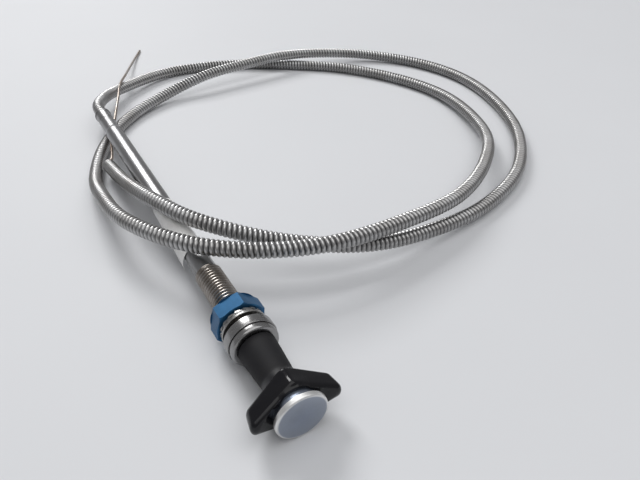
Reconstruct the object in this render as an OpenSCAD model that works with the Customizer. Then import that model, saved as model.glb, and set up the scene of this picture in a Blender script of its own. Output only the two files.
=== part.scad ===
// Push-button T-handle control cable: a locking pull handle on a threaded
// bulkhead bushing, a guide tube and two loose loops of wound steel casing
// with a solid core wire.  Millimetres.  Stations run along the head's axis:
// y is negative towards the hand and positive towards the casing.

/* [Button] */
// Station of the button's face, measured towards the hand from the origin
button_reach = 174; // [165:1:190]
// Radius of the button's rim
button_r = 13.4; // [12:0.1:16]
// Thickness of the button's rim
button_rim_l = 2.8; // [2.4:0.1:4]
// Radius of the neck that slides in the handle
button_neck_r = 11; // [10:0.1:11.4]
// Travel of the button
button_travel = 3; // [2:0.1:3.5]
// Extra gap that is left under the rim when the button is pressed home
button_spare = 0.2; // [0.1:0.05:0.6]
// Rounding of the button's front edge
button_edge_r = 1.4; // [0.6:0.1:1.8]
// Radius of the rod behind the button
rod_r = 2; // [1.5:0.1:2.2]
// Wire radius of the return spring
spring_wire_r = 0.6; // [0.4:0.05:0.8]
// Mean radius of the return spring's coils
spring_mean_r = 6.5; // [5:0.1:7.5]
// Number of working coils
spring_coils = 5; // [3:1:6]

/* [Handle] */
// Width of the handle over its wing tips
handle_span = 46.4; // [42:0.2:56]
// Height of the wings' top corner above the axis
wing_top = 14.1; // [13.6:0.1:15]
// Rounding of the wings' top and bottom corners
wing_corner_r = 3.6; // [3:0.1:4]
// Rounding of the wings' front edges
wing_nose_r = 2.2; // [1:0.1:2.4]
// Radius of the wing tips, seen from above
wing_tip_r = 2.5; // [2:0.1:4]
// Height of the wing tips
wing_tip_h = 8.2; // [7:0.2:11]
// Radius of the wings behind their tips
wing_back_r = 3.5; // [3:0.1:5]
// Height of the wings behind their tips
wing_back_h = 11.2; // [10:0.2:14]
// Distance of the wings' backs from their tips
wing_back_in = 1.2; // [1:0.1:3]
// Depth of the wings at their tips, from the handle's front
wing_back_l = 9.3; // [8:0.1:11]
// Depth of the wings at the stem
wing_root_l = 13; // [11:0.5:14]
// Distance that the wing tips stand in front of the handle's middle
wing_sweep = 2.6; // [2:0.1:4]
// Radius of the hub round the button's neck
hub_r = 12.4; // [12:0.1:12.6]
// Length of the hub before it runs into the stem
hub_l = 9; // [7:0.5:10]
// Radius of the stem behind the wings
stem_front_r = 8.8; // [8.4:0.1:10]
// Radius of the stem where it meets the bushing
stem_rear_r = 10.4; // [9.5:0.1:11]
// Bevel of the stem's rear edge
stem_edge = 0.8; // [0.4:0.1:1.2]
// Length of the whole handle
handle_l = 41.5; // [38:0.5:48]
// Depth of the recess for the button's neck
recess_l = 7.6; // [7.2:0.1:8]
// Radius of the grub screw that holds the handle on the shaft
grub_r = 2; // [1.5:0.1:2.5]

/* [Shaft and lock] */
// Outer radius of the sliding shaft
shaft_r = 4.75; // [4.4:0.05:5]
// Bore radius of the sliding shaft
shaft_bore_r = 3.2; // [2.9:0.05:3.3]
// Web of the handle in front of the shaft
shaft_web = 4; // [3:0.5:6]
// Pull of the handle (three inches)
pull_travel = 76.2; // [50:0.1:80]
// Outer radius of the lock cage
cage_r = 5.5; // [5.3:0.05:5.7]
// Length of the lock cage
cage_l = 17.5; // [16.5:0.5:20]
// Radius of the lock balls
ball_r = 1.6; // [1.4:0.05:1.7]
// Inward travel of a ball when the button is pressed
ball_travel = 0.4; // [0.3:0.05:0.45]

/* [Bushing] */
// Major radius of the 5/8 inch thread on the shank
thread_r = 7.9375; // [7.9:0.0125:8.1]
// Pitch of the thread, eleven turns to the inch
thread_pitch = 2.309; // [2:0.001:2.5]
// Depth of the thread
thread_depth = 1.2; // [0.9:0.05:1.4]
// Length of the shank behind the collar
shank_l = 55.1; // [50:0.1:70]
// Radius of the collar's seat ring
seat_ring_r = 13.8; // [13:0.1:16]
// Length of the collar's seat ring
seat_ring_l = 5.6; // [3:0.1:6]
// Radius of the collar's front ring
front_ring_r = 13.1; // [11.4:0.1:14]
// Length of the collar's front ring
front_ring_l = 3.8; // [3:0.1:6]
// Rounding of the front ring's front edge
front_ring_edge = 1.8; // [0.5:0.1:2.5]
// Width of the groove between the rings
ring_groove_w = 0.3; // [0.3:0.1:1]
// Depth of the groove between the rings
ring_groove_d = 0.5; // [0.3:0.1:1.5]
// Outer radius of the shaft wiper
wiper_r = 7.6; // [6.8:0.1:8.2]
// Thickness of the shaft wiper
wiper_t = 2.5; // [1.5:0.1:3]

/* [Washers and nut] */
// Gap between the collar's seat and the flat washer, for the panel
panel_gap = 3.6; // [2:0.1:6]
// Radius of the flat washer
flat_washer_r = 12.7; // [12:0.1:14]
// Thickness of the flat washer
flat_washer_t = 2; // [1.5:0.1:2.2]
// Radius over the lock washer's teeth
lock_washer_r = 12.3; // [11.6:0.1:13.6]
// Radius of the lock washer's plain ring
lock_ring_r = 10.4; // [9.8:0.1:11]
// Height of the lock washer over its twisted teeth
lock_washer_t = 2.9; // [2.4:0.1:4.2]
// Number of teeth on the lock washer
lock_teeth = 18; // [12:1:20]
// Width of the nut over its flats (one inch)
nut_flats = 25.4; // [24:0.1:26.4]
// Thickness of the nut
nut_t = 9.5; // [8:0.1:10]
// Turn of the nut's corners from the horizontal
nut_turn = 19.5; // [0:0.1:60]
// Travel of the loose nut and washers along the shank
nut_travel = 12; // [8:0.5:14]

/* [Guide tube] */
// Outer radius of the guide tube
tube_r = 6.6; // [6.4:0.05:6.9]
// Wall of the guide tube
tube_wall = 0.7; // [0.5:0.05:0.8]
// Station of the guide tube's far end
tube_reach = 175; // [165:1:190]
// Depth of the tube's spigot in the bushing's shank
tube_socket = 12; // [8:0.5:16]
// Outer radius of the spigot
spigot_r = 6.2; // [6:0.05:6.3]
// Bore radius of the spigot, which stops the lock cage
spigot_bore_r = 5.2; // [5:0.05:5.3]
// Outer radius of the swaged end
swage_r = 6; // [5.8:0.05:6.2]
// Length of the swaged end
swage_l = 38; // [30:1:45]
// Length of the taper down to the swaged end
swage_taper = 3; // [2:0.5:5]
// Radius of the rolled lip at the tube's end
lip_r = 6.5; // [6.3:0.05:6.8]
// Width of the rolled lip
lip_w = 2.2; // [1.6:0.1:3]
// Length of the label wrapped on the tube
label_l = 59; // [40:1:64]
// Gap between the shank's end and the label
label_gap = 18.5; // [2:0.5:22]
// Thickness of the label
label_t = 0.55; // [0.3:0.05:0.8]

/* [Casing and core wire] */
// Outer diameter of the wound casing
casing_d = 10; // [9:0.5:10]
// Bore radius of the casing
casing_bore_r = 2; // [1.8:0.1:2.4]
// Number of ribs drawn along the casing
casing_ribs = 178; // [60:1:200]
// Depth of the grooves between the ribs
rib_depth = 0.4; // [0.2:0.05:0.6]
// Radius of the core wire
core_r = 1.2; // [1:0.05:1.3]

/* [Clearances] */
// Radial running clearance of a sliding fit
run_clear = 0.05; // [0.02:0.01:0.08]
// Gap between faces that only come close
face_clear = 0.3; // [0.2:0.05:0.4]
// Gap that keeps a held part clear of its seat
fit_clear = 0.02; // [0.01:0.01:0.04]
// Gap between parts that rest next to each other
rest_gap = 0.2; // [0.1:0.05:0.4]

/* [Hidden] */

$fn = 72;
tilt = 1;

// Stations along the head's axis, from the hand backwards
button_front = -button_reach;
rim_rear = button_front + button_rim_l;
handle_front = rim_rear + button_travel + button_spare;
stem_front = handle_front + 2 * hub_l;
handle_rear = handle_front + handle_l;
recess_floor = handle_front + recess_l;
neck_rear = recess_floor - button_travel - face_clear;
shaft_front = recess_floor + shaft_web;
collar_front = handle_rear + rest_gap;

// The head lies on the wings' bottom corner, or on the button's rim
axis_z0 = max(wing_top * cos(tilt) - handle_front * sin(tilt),
              button_r * cos(tilt) + (button_reach - button_edge_r) * sin(tilt));

seat_y = collar_front + front_ring_l + ring_groove_w + seat_ring_l;
shank_rear = seat_y + shank_l;
flat_washer_y = seat_y + panel_gap;
lock_washer_y = flat_washer_y + flat_washer_t;
nut_y = lock_washer_y + lock_washer_t;
nut_rear = nut_y + nut_t;
spigot_step = 1;
socket_y = shank_rear - tube_socket;
cage_front = shank_rear + spigot_step + pull_travel + face_clear;
cage_rear = cage_front + cage_l;
tube_end = tube_reach;
swage_y = tube_end - swage_l;
label_y = shank_rear + label_gap;

// Radii that follow from the fits
tube_bore_r = tube_r - tube_wall;
swage_bore_r = swage_r - tube_wall;
recess_r = button_neck_r + 2 * run_clear;
shaft_hole_r = shaft_r + run_clear;
wire_hole_r = core_r + run_clear;

// Lock: the balls bear on the guide tube and are spread by the cone
ball_pitch = 120;
cage_wall = 4;
cage_bore_r = shaft_bore_r;
ball_y = cage_front + 5;
ball_seat_r = tube_bore_r - ball_r - fit_clear;
ball_hole_r = ball_r + run_clear;
cone_slope = ball_travel / button_travel;
cone_lead = 5.5;
cone_mid_r = ball_seat_r - ball_r - run_clear;
cone_front_r = cone_mid_r - cone_slope * cone_lead;
cone_tail = 3;
cone_rear_y = ball_y + cone_tail;
cone_rear_r = cone_mid_r + cone_slope * (cone_rear_y - ball_y);
cone_front_y = ball_y - cone_lead;

// Button's pocket and its return spring
pocket_r = spring_mean_r + 3 * spring_wire_r;
pocket_floor = button_front + 2;
spring_y0 = pocket_floor + spring_wire_r + fit_clear;
spring_y1 = recess_floor - spring_wire_r - fit_clear;
boss_r = rod_r + 1.6;
snap_y = shaft_front + face_clear;
snap_t = 0.8;
snap_r = shaft_bore_r - 0.15;
snap_groove_r = rod_r - 0.4;
grub_y = (stem_front + handle_rear) / 2;
grub_seat_r = shaft_r + fit_clear;

// Nut's corner radius and chamfers
nut_corner_r = nut_flats / sqrt(3);
nut_chamfer = 0.4;
land_front = nut_rear + rest_gap;
land_spare = 5;
land_l = nut_travel + land_spare;
nut_turns = 4;

// Route of the casing in round points, after a short straight lead
axis_dir = [0, cos(tilt), sin(tilt)];
function on_head(y) = [0, y * cos(tilt), axis_z0 + y * sin(tilt)];
casing_exit = on_head(tube_end);
lead_l = 1.1 * casing_d;
casing_lead = casing_exit + lead_l * axis_dir;
casing_points = [
    casing_lead,
    [7.5, 211, 18], [29, 245, 11], [79.5, 277.5, 6], [125.5, 279, 5], [169, 264, 5],
    [215, 234.5, 5], [253, 202.5, 5], [282.5, 158, 5], [298.5, 107, 5.5], [294, 57, 7.5],
    [269.5, -1.5, 10.5], [229.5, -42.5, 14], [177, -73, 18.5], [119, -84.5, 23.5],
    [67, -85.5, 27.5], [25, -71, 29.5], [-7.5, -43, 29.5], [-28.5, 0, 26.5], [-32, 47, 18.5],
    [-27, 98, 7], [-7.5, 149, 5], [27, 194, 5], [69, 220.5, 7.5], [115, 230.5, 14.5],
    [159, 235, 16], [203, 238, 16], [249, 234.5, 12], [297, 217, 7], [332.5, 175, 5],
    [346.5, 119, 5], [336, 59, 5], [305.5, -3, 5], [257.5, -51.5, 5], [201, -77, 5.5],
    [145, -85, 8.5], [95, -82.5, 14.5], [47, -62.5, 22.5], [9.5, -29, 29.5], [-7.5, 13, 28],
    [-13, 64, 16.5], [-14.5, 106, 9]];
// Route of the core wire's bare tail, from the casing's mouth to its tip
tail_points = [
    [-14.5, 106, 9], [-10, 115.5, 9.5], [-6, 131.5, 9.5], [-2, 147, 10.5], [4, 163.5, 12],
    [11, 182, 14], [17, 198.5, 15.5], [23.5, 216, 17], [29, 233, 18], [35.5, 250, 17],
    [46, 277, 12.5], [59.5, 312, 7], [75, 348, 3], [88, 375, 1.3]];

// ---- curves -------------------------------------------------------------

function last(list) = list[len(list) - 1];
function spline_at(a, b, c, d, t) =
    0.5 * (2 * b + (c - a) * t + (2 * a - 5 * b + 4 * c - d) * t * t
           + (3 * b - a - 3 * c + d) * t * t * t);
// Smooth curve through the points; the first and last leave along start and stop
function curve(points, start, stop, steps) =
    let (knots = concat([points[1] - start], points, [points[len(points) - 2] + stop]),
         n = len(points) - 1)
    concat([for (i = [0:n - 1], k = [0:steps - 1])
                spline_at(knots[i], knots[i + 1], knots[i + 2], knots[i + 3], k / steps)],
           [last(points)]);
function end_run(points) = 2 * (last(points) - points[len(points) - 2]);
function above_ground(points, r) = [for (p = points) [p[0], p[1], max(p[2], r)]];
start_run = 48;
casing_start = start_run * axis_dir;
function casing_curve(steps) =
    above_ground(concat([casing_exit], curve(casing_points, casing_start,
                                             end_run(casing_points), steps)), casing_d / 2);
function tail_curve(steps) =
    above_ground(curve(tail_points, end_run(casing_points), end_run(tail_points), steps), core_r);

// Distance run at each point, and the point at a given distance
function runs(points, i = 0, sum = 0, out = []) =
    i == len(points) ? out
    : let (s = i == 0 ? 0 : sum + norm(points[i] - points[i - 1]))
      runs(points, i + 1, s, concat(out, [s]));
function table(points, dist, axis) = [for (i = [0:len(points) - 1]) [dist[i], points[i][axis]]];
function even(points, count) =
    let (dist = runs(points), xs = table(points, dist, 0), ys = table(points, dist, 1),
         zs = table(points, dist, 2), whole = last(dist))
    [for (i = [0:count]) let (s = whole * i / count) [lookup(s, xs), lookup(s, ys), lookup(s, zs)]];

// One ring of a tube, square to the route, with a flat side down
function unit(v) = v / norm(v);
function heading(points, i) =
    unit(points[min(i + 1, len(points) - 1)] - points[max(i - 1, 0)]);
function ring(centre, dir, r, sides) =
    let (side = unit(cross(dir, [0, 0, 1])), up = cross(side, dir))
    [for (k = [0:sides - 1]) let (a = 360 * (k + 0.5) / sides - 90)
        centre + r * (cos(a) * side + sin(a) * up)];

function band_faces(first, second, sides, inward = false) =
    [for (k = [0:sides - 1]) let (n = (k + 1) % sides, a = first + k, b = first + n,
                                  c = second + n, d = second + k)
        each (inward ? [[a, b, c], [a, c, d]] : [[c, b, a], [d, c, a]])];
function cap_faces(first, sides, flip = false) =
    [for (k = [1:sides - 2]) flip ? [first, first + k + 1, first + k]
                                  : [first, first + k, first + k + 1]];

// Solid tube over rings that are all centred on the route
module solid_tube(points, radii, sides, headings) {
    n = len(points);
    verts = [for (i = [0:n - 1]) each ring(points[i], headings[i], radii[i], sides)];
    walls = [for (i = [0:n - 2]) each band_faces(i * sides, (i + 1) * sides, sides)];
    ends = concat(cap_faces(0, sides), cap_faces((n - 1) * sides, sides, true));
    polyhedron(verts, concat(walls, ends), convexity = 12);
}

// Ribbed tube with a bore: outer rings carry the ribs, inner rings the bore
module hollow_tube(outer, outer_radii, inner, inner_r, sides) {
    n = len(outer);
    m = len(inner);
    outer_verts = [for (i = [0:n - 1]) each ring(outer[i], heading(outer, i), outer_radii[i], sides)];
    inner_verts = [for (i = [0:m - 1])
        each ring(inner[i], i == m - 1 ? heading(outer, n - 1) : i == 0 ? heading(outer, 0)
                                       : heading(inner, i), inner_r, sides)];
    skin = [for (i = [0:n - 2]) each band_faces(i * sides, (i + 1) * sides, sides)];
    base = n * sides;
    bore = [for (i = [0:m - 2])
        each band_faces(base + i * sides, base + (i + 1) * sides, sides, true)];
    ends = concat(band_faces(base, 0, sides), band_faces((n - 1) * sides, base + (m - 1) * sides, sides));
    polyhedron(concat(outer_verts, inner_verts), concat(skin, bore, ends), convexity = 12);
}

// Least gap of the casing to itself, on points of its route
casing_check = even(casing_curve(4), 400);
check_skip = 15;
casing_gap = min([for (i = [0:len(casing_check) - 1 - check_skip],
                       j = [i + check_skip:len(casing_check) - 1])
    norm(casing_check[i] - casing_check[j])]) - casing_d;
echo(casing_length = last(runs(casing_curve(4))), casing_least_gap = casing_gap);
echo(tail_length = last(runs(tail_curve(4))));

// ---- helpers on the head's axis ------------------------------------------

// Children are drawn with z along the head's axis, from station y
module at_station(y) {
    translate([0, 0, axis_z0]) rotate([tilt, 0, 0]) translate([0, y, 0]) rotate([-90, 0, 0])
        children();
}

module rod(r, l) {
    cylinder(r = r, h = l);
}

module tube(r, bore, l) {
    difference() {
        rod(r, l);
        translate([0, 0, -1]) rod(bore, l + 2);
    }
}

// ---- button ---------------------------------------------------------------

module push_button() {
    neck_l = neck_rear - button_front;
    e = button_edge_r;
    color("silver")
        at_station(button_front)
            difference() {
                rotate_extrude()
                    union() {
                        polygon([[0, 0], [button_r - e, 0], [button_r, e], [button_r, button_rim_l],
                                 [button_neck_r, button_rim_l], [button_neck_r, neck_l], [0, neck_l]]);
                        translate([button_r - e, e]) circle(r = e);
                    }
                translate([0, 0, pocket_floor - button_front])
                    difference() {
                        rod(pocket_r, neck_l);
                        translate([0, 0, -1]) rod(boss_r, neck_l + 2);
                    }
                translate([0, 0, pocket_floor - button_front]) rod(rod_r + fit_clear, neck_l);
            }
}

module button_rod() {
    color("lightgray")
        at_station(pocket_floor)
            difference() {
                rod(rod_r, cone_front_y - pocket_floor);
                translate([0, 0, snap_y - pocket_floor]) tube(rod_r + 1, snap_groove_r, snap_t);
            }
}

// Open coils round the rod, on one unbroken path
module button_spring() {
    steps = 8;
    rise = spring_y1 - spring_y0;
    count = spring_coils * steps;
    path = [for (i = [0:count]) let (a = 360 * i / steps)
        [spring_mean_r * cos(a), spring_mean_r * sin(a), rise * i / count]];
    color("gainsboro")
        at_station(spring_y0)
            solid_tube(path, [for (p = path) spring_wire_r], 6,
                       [for (i = [0:count]) heading(path, i)]);
}

module button_snap_ring() {
    slot_w = 1.6;
    color("dimgray")
        at_station(snap_y)
            difference() {
                tube(snap_r, snap_groove_r + fit_clear, snap_t - 2 * fit_clear);
                translate([-slot_w / 2, 0, -1]) cube([slot_w, shaft_r, snap_t + 2]);
            }
}

// ---- handle ---------------------------------------------------------------

// Flattened ball at the end of a wing on the given side
module wing_ball(side, inset, z, r, h) {
    translate([side * (handle_span / 2 - inset - r), 0, z])
        scale([1, h / (2 * r), 1])
            sphere(r = r, $fn = 32);
}

// Round bar with a rounded front edge
module nosed_bar(r, nose, l) {
    rotate_extrude($fn = 32)
        polygon(concat([[0, 0]],
            [for (a = [0:15:90]) [r - nose + nose * sin(a), nose - nose * cos(a)]],
            [[r, l], [0, l]]));
}

// One wing, from its two end balls to the stem
module wing(side) {
    hull() {
        wing_ball(side, 0, wing_tip_r - wing_sweep, wing_tip_r, wing_tip_h);
        wing_ball(side, wing_back_in, wing_back_l - wing_back_r, wing_back_r, wing_back_h);
        for (s = [-1, 1])
            translate([0, s * (wing_top - wing_corner_r), 0])
                nosed_bar(wing_corner_r, wing_nose_r, wing_root_l);
        translate([0, 0, hub_l])
            cylinder(r = stem_front_r, h = wing_root_l - hub_l, $fn = 48);
    }
}

module t_handle() {
    rim_gap = 0.6;
    hub_inset = 1;
    hub_back = hub_l - 2;
    color("#16161a")
        at_station(handle_front)
            difference() {
                union() {
                    wing(1);
                    wing(-1);
                    rotate_extrude()
                        polygon([[0, hub_inset], [hub_r, hub_inset], [hub_r, hub_back],
                                 [stem_front_r, 2 * hub_l], [stem_rear_r, handle_l - stem_edge],
                                 [stem_rear_r - stem_edge, handle_l], [0, handle_l]]);
                }
                translate([0, 0, -2 * wing_sweep]) rod(button_r + rim_gap, 2 * wing_sweep);
                translate([0, 0, -1]) rod(recess_r, recess_l + 1);
                rod(rod_r + run_clear, handle_l);
                translate([0, 0, shaft_front - handle_front]) rod(shaft_r + fit_clear, handle_l);
                translate([0, 0, grub_y - handle_front]) rotate([-90, 0, 0])
                    rod(grub_r, 2 * stem_rear_r);
            }
}

module handle_grub_screw() {
    depth = stem_front_r - grub_seat_r;
    key_r = grub_r * 0.5;
    color("black")
        at_station(grub_y)
            rotate([-90, 0, 0])
                translate([0, 0, grub_seat_r])
                    difference() {
                        rod(grub_r - fit_clear, depth - 0.6);
                        translate([0, 0, depth - 2.6]) cylinder(r = key_r, h = 3, $fn = 6);
                    }
}

// ---- shaft and lock ---------------------------------------------------------

module slide_shaft() {
    color("silver")
        at_station(shaft_front)
            tube(shaft_r, shaft_bore_r, cage_front - shaft_front);
}

module lock_cage() {
    color("darkgray")
        at_station(cage_front)
            difference() {
                rod(cage_r, cage_l);
                translate([0, 0, -1]) rod(cage_bore_r, cage_l - cage_wall + 1);
                rod(wire_hole_r, cage_l + 1);
                for (a = [0:ball_pitch:359])
                    rotate([0, 0, a]) translate([0, 0, ball_y - cage_front]) rotate([0, 90, 0])
                        rod(ball_hole_r, cage_r + 1);
            }
}

module lock_cone() {
    color("goldenrod")
        at_station(cone_front_y)
            rotate_extrude()
                polygon([[0, 0], [cone_front_r, 0], [cone_rear_r, cone_rear_y - cone_front_y],
                         [0, cone_rear_y - cone_front_y]]);
}

module lock_ball(number) {
    color("white")
        at_station(ball_y)
            rotate([0, 0, number * ball_pitch]) translate([ball_seat_r, 0, 0]) sphere(r = ball_r);
}

module drive_wire() {
    color("gray")
        at_station(cage_rear - cage_wall + face_clear)
            rod(core_r, tube_end - 2 * face_clear - (cage_rear - cage_wall + face_clear));
}

// ---- bushing ----------------------------------------------------------------

// Half section of the shank with thread grooves between two stations
function thread_points(from, to) =
    let (turns = floor((to - from) / thread_pitch))
    [for (i = [0:turns - 1]) let (y = from + i * thread_pitch)
        each [[thread_r, y + 0.1 * thread_pitch],
              [thread_r - thread_depth, y + 0.45 * thread_pitch],
              [thread_r - thread_depth, y + 0.55 * thread_pitch],
              [thread_r, y + 0.9 * thread_pitch]]];

module bushing() {
    seat = seat_y - collar_front;
    whole = shank_rear - collar_front;
    groove_front = front_ring_l;
    chamfer = 0.6;
    section = concat(
        [[0, 0]],
        [for (a = [0:15:90]) [front_ring_r - front_ring_edge * (1 - sin(a)),
                              front_ring_edge * (1 - cos(a))]],
        [[front_ring_r, groove_front], [front_ring_r - ring_groove_d, groove_front],
         [front_ring_r - ring_groove_d, groove_front + ring_groove_w],
         [seat_ring_r - chamfer / 2, groove_front + ring_groove_w],
         [seat_ring_r, groove_front + ring_groove_w + chamfer / 2],
         [seat_ring_r, seat], [thread_r, seat]],
        thread_points(land_front - nut_turns * thread_pitch - collar_front, land_front - collar_front),
        thread_points(land_front + land_l - collar_front, whole - 2 * chamfer),
        [[thread_r, whole - chamfer], [thread_r - chamfer, whole], [0, whole]]);
    color("silver")
        at_station(collar_front)
            difference() {
                rotate_extrude() polygon(section);
                translate([0, 0, -1]) rod(shaft_hole_r, whole + 2);
                translate([0, 0, -1]) rod(wiper_r, wiper_t + 1);
                translate([0, 0, socket_y - collar_front]) rod(spigot_r + fit_clear, whole);
            }
}

module shaft_wiper() {
    color("#303030")
        at_station(collar_front + fit_clear)
            difference() {
                tube(wiper_r - fit_clear, shaft_hole_r, wiper_t - 2 * fit_clear);
                translate([0, 0, -0.5]) tube(wiper_r - 1, shaft_hole_r + 0.8, 1.2);
            }
}

// ---- washers and nut --------------------------------------------------------

module flat_washer() {
    color("silver")
        at_station(flat_washer_y)
            tube(flat_washer_r, thread_r + run_clear, flat_washer_t);
}

module lock_washer() {
    tooth_l = lock_washer_r - lock_ring_r + 1;
    tooth_w = 1.3;
    tooth_turn = 62;
    lift = lock_washer_t / 2;
    tooth_h = (lock_washer_t - tooth_w * cos(tooth_turn)) / sin(tooth_turn);
    color("gainsboro")
        at_station(lock_washer_y)
            intersection() {
                union() {
                    translate([0, 0, lift - 1]) tube(lock_ring_r, thread_r + run_clear, 2);
                    for (i = [0:lock_teeth - 1])
                        rotate([0, 0, 360 * i / lock_teeth])
                            translate([lock_ring_r - 1, 0, lift]) rotate([90 - tooth_turn, 0, 0])
                                translate([0, -tooth_w / 2, -tooth_h / 2])
                                    cube([tooth_l, tooth_w, tooth_h]);
                }
                rod(lock_washer_r, lock_washer_t);
            }
}

module jam_nut() {
    c = nut_chamfer;
    color("#2f7fd0")
        at_station(nut_y)
            difference() {
                intersection() {
                    rotate([0, 0, -nut_turn]) cylinder(r = nut_corner_r, h = nut_t, $fn = 6);
                    rotate_extrude()
                        polygon([[0, 0], [nut_corner_r - c, 0], [nut_corner_r + c, c],
                                 [nut_corner_r + c, nut_t - c], [nut_corner_r - c, nut_t], [0, nut_t]]);
                }
                translate([0, 0, -1]) rod(thread_r + run_clear, nut_t + 2);
            }
}

// ---- guide tube ---------------------------------------------------------------

module guide_tube() {
    shoulder = tube_socket;
    step = shoulder + spigot_step;
    straight = swage_y - socket_y;
    down = straight + swage_taper;
    whole = tube_end - socket_y;
    lip = lip_w / 2;
    color("lightgray")
        at_station(socket_y)
            rotate_extrude()
                difference() {
                    union() {
                        polygon([[spigot_bore_r, 0], [spigot_r, 0], [spigot_r, shoulder],
                                 [tube_r, shoulder], [tube_r, straight], [swage_r, down],
                                 [swage_r, whole], [swage_bore_r, whole], [swage_bore_r, down],
                                 [tube_bore_r, straight], [tube_bore_r, step],
                                 [spigot_bore_r, step]]);
                        translate([lip_r - lip, whole - lip]) circle(r = lip, $fn = 32);
                    }
                    translate([0, down]) square([swage_bore_r, whole]);
                }
}

module tube_ferrule() {
    color("gray")
        at_station(swage_y + swage_taper)
            tube(swage_bore_r - fit_clear, casing_bore_r, swage_l - swage_taper);
}

module paper_label() {
    flap = 5;
    flap_turn = 20;
    color("white")
        at_station(label_y)
            difference() {
                union() {
                    tube(tube_r + label_t, tube_r + fit_clear, label_l);
                    rotate([0, 0, -flap_turn]) translate([0, tube_r + fit_clear + label_t, 0])
                        rotate([90, 0, 0]) linear_extrude(label_t)
                            polygon([[0, 0], [-tube_r - flap, 0], [0, 3 * flap]]);
                }
                translate([0, 0, -1]) rod(tube_r + fit_clear, label_l + 2);
            }
}

// ---- casing and core wire -----------------------------------------------------

module casing() {
    outer = even(casing_curve(8), 2 * casing_ribs);
    crest = casing_d / 2;
    radii = [for (i = [0:2 * casing_ribs]) i % 2 == 0 ? crest : crest - rib_depth];
    color("darkgray")
        hollow_tube(outer, radii, casing_curve(2), casing_bore_r, 8);
}

module core_wire() {
    inside = casing_curve(2);
    tail = tail_curve(1);
    path = concat(inside, [for (i = [1:len(tail) - 1]) tail[i]]);
    n = len(path);
    directions = [for (i = [0:n - 1]) heading(path, i)];
    color("gray")
        solid_tube(path, [for (p = path) core_r], 8, directions);
}

t_handle();
push_button();
button_rod();
button_spring();
button_snap_ring();
handle_grub_screw();
slide_shaft();
lock_cage();
lock_cone();
lock_ball(0);  // lock_ball_1
lock_ball(1);  // lock_ball_2
lock_ball(2);  // lock_ball_3
bushing();
shaft_wiper();
flat_washer();
lock_washer();
jam_nut();
guide_tube();
tube_ferrule();
paper_label();
drive_wire();
casing();
core_wire();
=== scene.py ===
# Locking T-handle control cable: the visible pieces, their finishes, light and camera.
# Sizes beside each piece are in millimetres and angles in degrees; the scene is in metres.
import math

import bmesh
import bpy
import numpy as np
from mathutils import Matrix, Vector, noise


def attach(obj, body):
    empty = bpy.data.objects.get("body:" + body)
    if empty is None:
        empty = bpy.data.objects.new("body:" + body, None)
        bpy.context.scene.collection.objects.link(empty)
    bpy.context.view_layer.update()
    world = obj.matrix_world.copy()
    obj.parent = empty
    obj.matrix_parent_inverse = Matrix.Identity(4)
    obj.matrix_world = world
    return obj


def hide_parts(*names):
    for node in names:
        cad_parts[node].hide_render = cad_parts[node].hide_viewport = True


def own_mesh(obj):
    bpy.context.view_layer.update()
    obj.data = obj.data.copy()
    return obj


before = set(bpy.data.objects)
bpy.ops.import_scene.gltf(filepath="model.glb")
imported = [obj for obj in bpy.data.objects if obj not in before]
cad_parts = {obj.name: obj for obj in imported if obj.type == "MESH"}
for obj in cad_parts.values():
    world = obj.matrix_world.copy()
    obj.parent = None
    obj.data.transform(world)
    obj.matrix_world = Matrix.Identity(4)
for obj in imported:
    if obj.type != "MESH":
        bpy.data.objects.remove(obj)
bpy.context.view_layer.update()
print("frame loaded:", len(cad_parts), "nodes")

mm = 0.001
upright = (0, 0, 1)
crisp = 35  # edges that turn by more degrees than this stay crisp

# The head's axis rises by tilt degrees, and the handle's lowest front edge rests on the floor.
# Stations are counted along that axis, negative towards the handle.
headLook = dict(tilt=1, front=-168, lowest=14.1, tubeEnd=175)

tilt = math.radians(headLook["tilt"])
sideways = Vector((1, 0, 0))
axisDir = Vector((0, math.cos(tilt), math.sin(tilt)))
axisUp = Vector((0, -math.sin(tilt), math.cos(tilt)))
axisHeight = headLook["lowest"] * math.cos(tilt) - headLook["front"] * math.sin(tilt)
axisBase = Vector((0, 0, axisHeight))


def onHead(station, radius=0.0, angle=0.0):
    # a point of the head in metres: station along its axis, then out at an angle, 90 being up
    a = math.radians(angle)
    out = radius * (math.cos(a) * sideways + math.sin(a) * axisUp)
    return (axisBase + station * axisDir + out) * mm


def headPoint(x, station, z):
    # a point of the head in metres: x sideways from its axis and z above it
    return (axisBase + station * axisDir + x * sideways + z * axisUp) * mm


def newObject(name, data):
    obj = bpy.data.objects.new(name, data)
    bpy.context.scene.collection.objects.link(obj)
    return obj


# The focal length and the image's width are in pixels, the sensor in millimetres,
# and the nearest and farthest distances that are drawn in metres.
cameraLook = dict(
    place=(-75.9, -318.3, 233), pitch=53.4, heading=-30.36, focal=590, imageWidth=640,
    sensor=36, nearest=0.01, farthest=60)


def makeCamera(look):
    data = bpy.data.cameras.new("camera")
    data.sensor_width = look["sensor"]
    data.lens = look["sensor"] * look["focal"] / look["imageWidth"]
    data.clip_start, data.clip_end = look["nearest"], look["farthest"]
    obj = newObject("camera", data)
    obj.location = Vector(look["place"]) * mm
    obj.rotation_euler = (math.radians(look["pitch"]), 0, math.radians(look["heading"]))
    bpy.context.scene.camera = obj


makeCamera(cameraLook)
print("camera set")


def addMarks(mesh, marks):
    # a number from 0 to 1 for each point, which the finishes read as "mark"
    mesh.attributes.new("mark", "FLOAT", "POINT").data.foreach_set("value", marks)


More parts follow.
